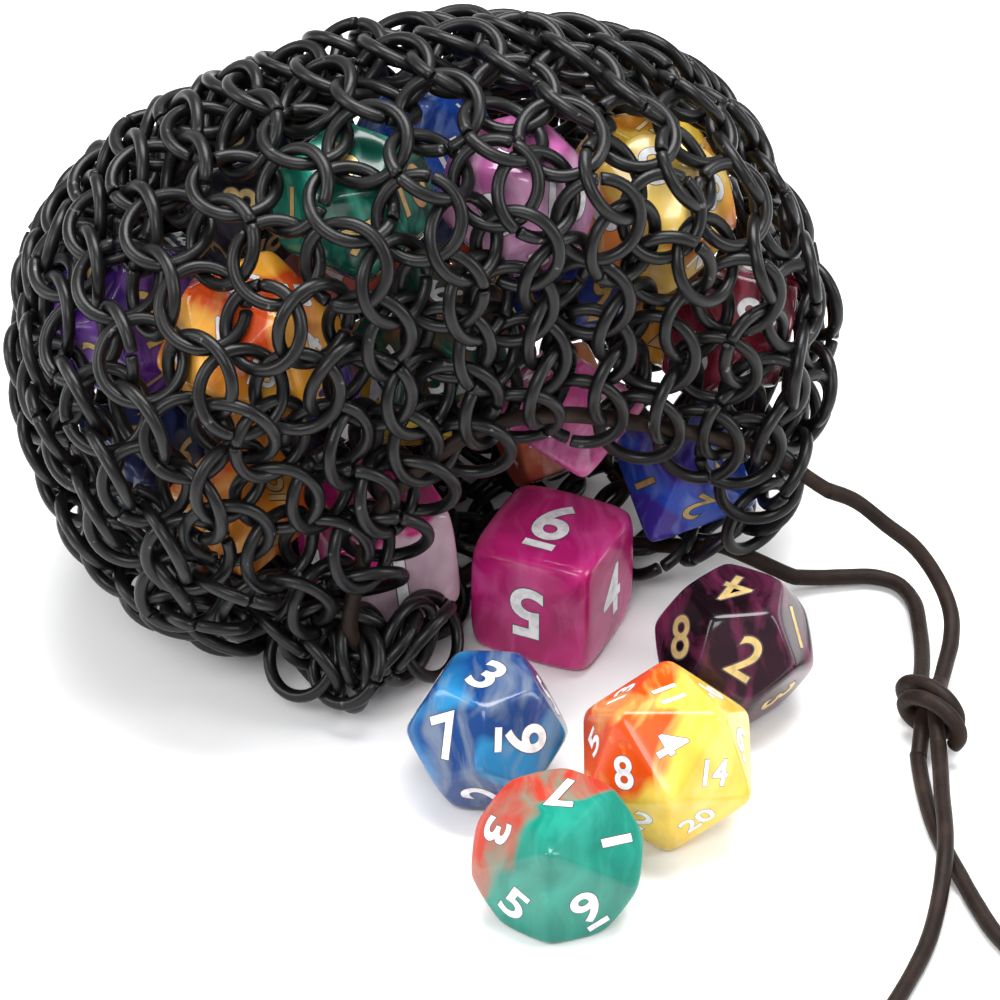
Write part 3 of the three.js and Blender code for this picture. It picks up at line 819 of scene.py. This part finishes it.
paints = {
    "white": paint_material("white_numeral_paint", (0.82, 0.82, 0.84), 0, 0.4),
    "gold": paint_material("gold_numeral_paint", (0.80, 0.58, 0.24), 0.55, 0.32),
}
# The dark rim under each numeral is painted shade: it stands in for the shadow on the engraving's walls.
painted_engraving_shade, _, engraving_shade_shader, _ = mottled_material(
    "painted_engraving_shade", (1500, 500, 0.8), [(0.3, (0.03, 0.025, 0.03)), (0.7, (0.07, 0.06, 0.065))])
engraving_shade_shader.inputs["Roughness"].default_value = 0.4

NUMERAL_HEIGHT = {"d6": 7.4, "d8": 4.6, "d10": 5.0, "d12": 5.4, "d20": 4.0}
EDGE_SHARPNESS = {"d6": 15, "d8": 24, "d10": 34, "d12": 30, "d20": 60}  # more is crisper
CORNER_CUT = {"d6": 0.93, "d8": 0.94, "d10": 0.955, "d12": 0.965, "d20": 0.96}
ENGRAVING_SHADE_WEIGHT, ENGRAVING_SHADE_RISE = 0.05, 0.012  # the dark rim round a numeral, painted shade of the engraving: how far it spreads, how far it stands
PAINT_WEIGHT, PAINT_RISE = {"white": 0.03, "gold": 0.014}, 0.03
glyphs = {}


def glyph(text, weight, thickness):
    """Vertices and faces of a numeral of height 1, its middle at the origin. A 6 or 9 gets its bar or dot."""
    key = (text, weight, thickness)
    if key in glyphs:
        return glyphs[key]
    curve = bpy.data.curves.new("numeral", "FONT")
    curve.body = text.rstrip("_.") + ("." if text.endswith(".") else "")
    curve.size = 1.37
    curve.offset = weight
    curve.extrude = thickness
    curve.resolution_u = 6
    letter = bpy.data.objects.new("numeral", curve)
    bpy.context.scene.collection.objects.link(letter)
    bpy.context.view_layer.update()
    mesh = bpy.data.meshes.new_from_object(letter.evaluated_get(bpy.context.evaluated_depsgraph_get()))
    points = np.array([v.co for v in mesh.vertices])
    shapes = [tuple(p.vertices) for p in mesh.polygons]
    bpy.data.objects.remove(letter)
    bpy.data.curves.remove(curve)
    bpy.data.meshes.remove(mesh)
    points -= (points.min(0) + points.max(0)) / 2
    if text.endswith("_"):
        wide, tall, drop = 0.27, 0.055 + weight, -0.68
        first = len(points)
        corners = [(x * wide, drop + y * tall, z * thickness)
                   for z in (-1, 1) for y in (-1, 1) for x in (-1, 1)]
        points = np.concatenate([points, corners])
        shapes += [tuple(first + i for i in face) for face in (
            (0, 2, 3, 1), (4, 5, 7, 6), (0, 1, 5, 4), (1, 3, 7, 5), (3, 2, 6, 7), (2, 0, 4, 6))]
        points[:, 1] += 0.09
    glyphs[key] = points, shapes
    return glyphs[key]


def face_list(mesh):
    """The die's flat faces: (outward normal, middle, corners in metres)."""
    found = []
    for polygon in mesh.polygons:
        n = Vector(polygon.normal)
        for face in found:
            if face[0].dot(n) > 0.999:
                face[1].update(polygon.vertices)
                break
        else:
            found.append((n.copy(), set(polygon.vertices)))
    faces = []
    for n, members in found:
        corners = []
        for v in members:
            co = mesh.vertices[v].co.copy()
            if all((co - c).length > 0.05 * mm for c in corners):
                corners.append(co)
        faces.append((n, sum(corners, Vector()) / len(corners), corners))
    return faces


SECTORS_OUT, SECTORS_ALONG = 11, 14  # grid of each face's sectors, finest along its edges


def rounded_die(faces, middle, kind, axis):
    """Points and faces of the die: flat faces that roll over into round edges and blunt corners."""
    points, shapes = [], []
    for normal, centre, corners in faces:
        right = (corners[0] - centre).normalized()
        up = normal.cross(right)
        ring = sorted(corners, key=lambda c: math.atan2((c - centre).dot(up), (c - centre).dot(right)))
        for a, b in zip(ring, ring[1:] + ring[:1]):
            first = len(points)
            for i in range(SECTORS_OUT + 1):
                out = math.sin(math.pi / 2 * i / SECTORS_OUT)
                for j in range(SECTORS_ALONG + 1):
                    on_edge = a.lerp(b, 0.5 - 0.5 * math.cos(math.pi * j / SECTORS_ALONG))
                    points.append(centre.lerp(on_edge, out))
            for i in range(SECTORS_OUT):
                for j in range(SECTORS_ALONG):
                    k = first + i * (SECTORS_ALONG + 1) + j
                    shapes.append((k, k + SECTORS_ALONG + 1, k + SECTORS_ALONG + 2, k + 1))
    off = np.array(points) - np.array(middle)
    normals = np.array([f[0] for f in faces])
    depths = np.array([f[0].dot(f[1] - middle) for f in faces])
    sharp = EDGE_SHARPNESS[kind]
    level = (np.maximum(0, off @ normals.T / depths) ** sharp).sum(1)
    if axis is None:
        reach = np.linalg.norm(off, axis=1)
    else:
        reach = np.linalg.norm(off - np.outer(off @ np.array(axis), axis), axis=1)
    level += (reach / (reach.max() * CORNER_CUT[kind])) ** sharp
    off /= (level ** (1 / sharp))[:, None]
    bm = bmesh.new()
    verts = [bm.verts.new(v) for v in off + np.array(middle)]
    for shape in shapes:
        bm.faces.new([verts[k] for k in shape])
    bmesh.ops.remove_doubles(bm, verts=bm.verts, dist=0.002 * mm)
    bm.verts.index_update()
    points = [v.co.copy() for v in bm.verts]
    shapes = [tuple(v.index for v in f.verts) for f in bm.faces]
    bm.free()
    return points, shapes


# What each die is stirred from: (main colour, second colour, colour of the flow, numeral paint).
RESINS = {
    "die_teal_red": (0x0f7e6c, 0xb83c2c, 0x2f9c88, "white"),
    "die_blue_pearl": (0x143f7c, 0x2a80b4, 0x8d979e, "white"),
    "die_amber": (0xecc448, 0xdc4f12, 0xf4dc80, "white"),
    "die_dark_plum": (0x2a0f1c, 0x14090f, 0x8a3560, "gold"),
    "die_magenta": (0xbe2174, 0xa81a62, 0xcf5496, "white"),
    "die_pink_grey": (0xb79aa8, 0xc02a78, 0xcfb4c2, "white"),
    "die_rose": (0xc74f90, 0xa83878, 0xe6a6c8, "white"),
    "die_blue_violet": (0x2a4fc0, 0x43309c, 0x7f9be8, "gold"),
    "die_cobalt": (0x2450b4, 0x173a8c, 0x9ab6ee, "white"),
    "die_lemon": (0xecd34e, 0xe2b030, 0xf8eda2, "white"),
    "die_flame": (0xdc5a2a, 0xf0b040, 0xf7e0c0, "white"),
    "die_royal_blue": (0x2450c4, 0x1a3798, 0x6f93e6, "gold"),
    "die_apricot": (0xe88a44, 0xf2cc62, 0xf6dcae, "white"),
    "die_gold_yellow": (0xe8c040, 0xd98a28, 0xf6e28e, "gold"),
    "die_lilac": (0xc98ab4, 0xb05c96, 0xe8c8dc, "white"),
    "die_garnet_green": (0x55171c, 0x17493c, 0x9c5a44, "white"),
    "die_teal": (0x156a58, 0x0c4638, 0x4fb096, "gold"),
    "die_onyx": (0x19181f, 0x2a2833, 0x4a4855, "gold"),
    "die_ruby": (0xa82a34, 0xd0605a, 0xf0b0a4, "white"),
    "die_violet": (0x5a2a8c, 0x3c1c66, 0xa070cc, "gold"),
    "die_slate": (0x34363e, 0x22242a, 0x6a6e78, "white"),
    "die_graphite": (0x2c2e36, 0x3c2a44, 0x666a74, "white"),
    "die_orange": (0xdc5020, 0xf0a434, 0xf7c878, "white"),
    "die_midnight": (0x1c2340, 0x101628, 0x44538c, "gold"),
    "die_indigo": (0x3a3ca0, 0x56309c, 0x7c84d8, "gold"),
    "die_tangerine": (0xe28a2c, 0xd8601e, 0xf6c884, "gold"),
    "die_wine": (0x6a1a28, 0x481018, 0xb0566a, "white"),
    "die_honey": (0xe0a636, 0xc87a20, 0xf4d48a, "gold"),
    "die_sky": (0x64a2d0, 0x3a78b0, 0xc4e0f4, "white"),
    "die_coral": (0xdc6450, 0xe89a6a, 0xf6c8b4, "white"),
    "die_plum": (0x54204c, 0x38143a, 0x96548c, "gold"),
}
# Where the second colour gathers, for the dice that lie outside the bag: (direction, offset).
GATHERED = {
    "die_teal_red": ((-0.5, 0.6, 0.55), -0.1),
    "die_amber": ((-0.8, 0.1, 0.55), -0.14),
    "die_pink_grey": ((-0.6, 0.2, 0.75), -0.02),
}
# Numerals in sight, as seen from in front and above: (numeral, its face's way right and up, the way right
# and up that the numeral's top points). A bar marks 6 and 9; on twenty faces a dot does.
SEEN = {
    "die_teal_red": [("7", 0.25, 0.6, 0, 0), ("1", 0.6, 0.1, 0, 0), ("9_", 0.35, -0.6, 0, 0),
                     ("5", -0.35, -0.55, 0, 0), ("3", -0.5, 0.25, 0, 0)],
    "die_blue_pearl": [("3", 0.0, 0.75, 0.8, 0.75), ("7", -0.6, -0.1, 0.1, 1.0), ("9_", 0.45, -0.25, 0.9, 0.35),
                       ("5", 0.9, 0.3, -0.3, 1.0), ("2", -0.1, -0.9, -0.8, 0.5)],
    "die_amber": [("11", -0.1, 0.7, -0.8, 0.5), ("4", 0.0, 0.0, 0.8, 0.6), ("14", 0.45, -0.45, 0.2, 1.0),
                  ("20", 0.2, -0.85, -0.4, 0.9), ("13", -0.5, 0.7, -0.1, -1.0), ("9.", 0.55, 0.75, 0.2, -1.0),
                  ("5", -0.8, 0.1, -0.2, 1.0), ("6.", 0.85, 0.05, 0.2, 1.0), ("8", -0.45, -0.45, -0.2, 1.0)],
    "die_dark_plum": [("2", 0.2, -0.15, 0.2, 1.0), ("4", 0.0, 0.85, -0.7, -0.7), ("8", -0.8, 0.15, -0.2, 1.0),
                      ("1", 0.85, 0.2, 0.1, 1.0), ("3", 0.5, -0.8, 0.6, 0.6)],
    "die_magenta": [("6_", 0.0, 0.75, 0.25, 1.0), ("5", -0.4, -0.45, 0.1, -1.0), ("4", 0.8, -0.3, 0.1, 1.0)],
    "die_pink_grey": [("1", 0.1, -0.5, -0.6, 0.8), ("3", 0.7, 0.4, 0, 1), ("2", 0, 0.9, 0, 1)],
    "die_rose": [("8", -0.3, 0.4, 0, 1), ("3", 0.4, -0.3, -0.6, 0.8)],
    "die_blue_violet": [("3", 0.4, 0.4, 0.2, 1.0), ("2", -0.1, -0.5, 0.1, -1.0)],
}
screen_right = Vector((1, 0, 0))
screen_up = Vector((0, math.sin(CAMERA_ELEVATION), math.cos(CAMERA_ELEVATION)))
screen_near = backwards
for name, (*colours, paint) in RESINS.items():
    node = frame["nodes"][name]
    faces = face_list(node.data)
    kind = f"d{len(faces)}"
    middle = sum((f[1] for f in faces), Vector()) / len(faces)
    mark = "." if kind == "d20" else "_"
    numbers = [n % 10 if kind == "d10" else n for n in range(1, len(faces) + 1)]
    labels = [f"{n}{mark if n in (6, 9) else ''}" for n in numbers]
    placed, free = [], list(faces)
    for text, right, up, top_right, top_up in SEEN.get(name, []):
        near = math.sqrt(max(0, 1 - right * right - up * up))
        way = screen_right * right + screen_up * up + screen_near * near
        face = max(free, key=lambda f: f[0].dot(way))
        free.remove(face)
        placed.append((text, face, screen_right * top_right + screen_up * top_up))
        if text in labels:
            labels.remove(text)
    for text, face in zip(labels, free):
        placed.append((text, face, Vector((0.1, 0.3, 1))))
    ends, axis = [], None
    if kind == "d10":
        corners = [c for f in faces for c in f[2]]
        tip = max(corners, key=lambda c: (c - middle).length)
        ends = [tip, 2 * middle - tip]
        axis = (tip - middle).normalized()
    points, shapes = rounded_die(faces, middle, kind, axis)
    slots = [0] * len(shapes)
    for text, (normal, centre, corners), top in placed:
        at = centre
        if kind == "d10":
            upward = min(ends, key=lambda e: (e - centre).length) - centre
            at = centre - 0.04 * upward
        elif kind == "d6":
            edges = [(a + b) / 2 - centre for a in corners for b in corners
                     if 1 * mm < (a - b).length < 17 * mm]
            upward = max(edges, key=lambda e: e.dot(top))
        else:
            upward = max((c - centre for c in corners), key=lambda e: e.dot(top))
        upward = (upward - normal * upward.dot(normal)).normalized()
        rightward = upward.cross(normal)
        height = NUMERAL_HEIGHT[kind] * mm * (0.8 if len(text.rstrip("_.")) > 1 and kind == "d20" else 1)
        # Each numeral gets a dark rim of painted engraving shade (slot 2) under its paint (slot 1).
        for weight, thickness, slot in ((ENGRAVING_SHADE_WEIGHT, ENGRAVING_SHADE_RISE, 2), (PAINT_WEIGHT[paint], PAINT_RISE, 1)):
            flat, outline = glyph(text, weight, thickness)
            first = len(points)
            for x, y, z in flat:
                points.append(at + rightward * (x * height) + upward * (y * height) + normal * (z * mm))
            shapes += [tuple(first + i for i in shape) for shape in outline]
            slots += [slot] * len(outline)
    resin = resin_material(f"resin_{name[4:]}", middle, colours, GATHERED.get(name))
    die = add_object(f"{name[4:]}_die", points, shapes, resin)
    die.data.materials.append(paints[paint])
    die.data.materials.append(painted_engraving_shade)
    die.data.polygons.foreach_set("material_index", slots)
    die.data.polygons.foreach_set("use_smooth", np.array(slots) == 0)
    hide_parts(name)
    body = next(b for b, members in frame["record"]["behaviour"]["bodies"].items() if name in members)
    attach(die, body)

# ------------------------------------------------------------------ the table top and the light
# A plain white sweep under soft light from above, in front and both sides.
size, rise, steps = 3.0, 1.6, 24
profile = [(-2.0, 0.0), (0.9, 0.0)]
profile += [(0.9 + 0.6 * math.sin(a), 0.6 - 0.6 * math.cos(a)) for a in np.linspace(0.1, math.pi / 2, steps)]
profile += [(1.5, rise)]
table_points = [(x, y, z) for y, z in profile for x in (-size, size)]
table_faces = [(2 * i, 2 * i + 1, 2 * i + 3, 2 * i + 2) for i in range(len(profile) - 1)]
table_paint, _, table_shader, _ = mottled_material(
    "pale_table", (60, 3, 0.9), [(0.3, (0.9, 0.9, 0.9)), (0.7, (0.93, 0.93, 0.93))])
table_shader.inputs["Roughness"].default_value = 0.9
table = add_object("table", table_points, table_faces, table_paint)


def softbox(name, place, target, width, height, power):
    light = bpy.data.lights.new(name, "AREA")
    light.shape = "RECTANGLE"
    light.size, light.size_y = width, height
    light.energy = power
    holder = bpy.data.objects.new(name, light)
    bpy.context.scene.collection.objects.link(holder)
    holder.location = place
    holder.rotation_euler = (Vector(target) - Vector(place)).to_track_quat("-Z", "Y").to_euler()


softbox("overhead", (0.05, 0.15, 0.75), (0, 0, 0.02), 0.55, 0.4, 9)
softbox("front", (-0.2, -0.7, 0.75), (0, 0, 0.03), 0.5, 0.35, 4.5)
softbox("left", (-0.8, -0.1, 0.45), (0, 0, 0.03), 0.25, 0.5, 3)
softbox("right", (0.8, -0.15, 0.45), (0, 0, 0.03), 0.25, 0.5, 3)
world = bpy.data.worlds.new("room")
bpy.context.scene.world = world
world.use_nodes = True
background = world.node_tree.nodes["Background"]
background.inputs["Color"].default_value = (0.97, 0.98, 1.0, 1)
background.inputs["Strength"].default_value = 0.55
bpy.context.scene.view_settings.view_transform = "Standard"

bpy.context.view_layer.update()
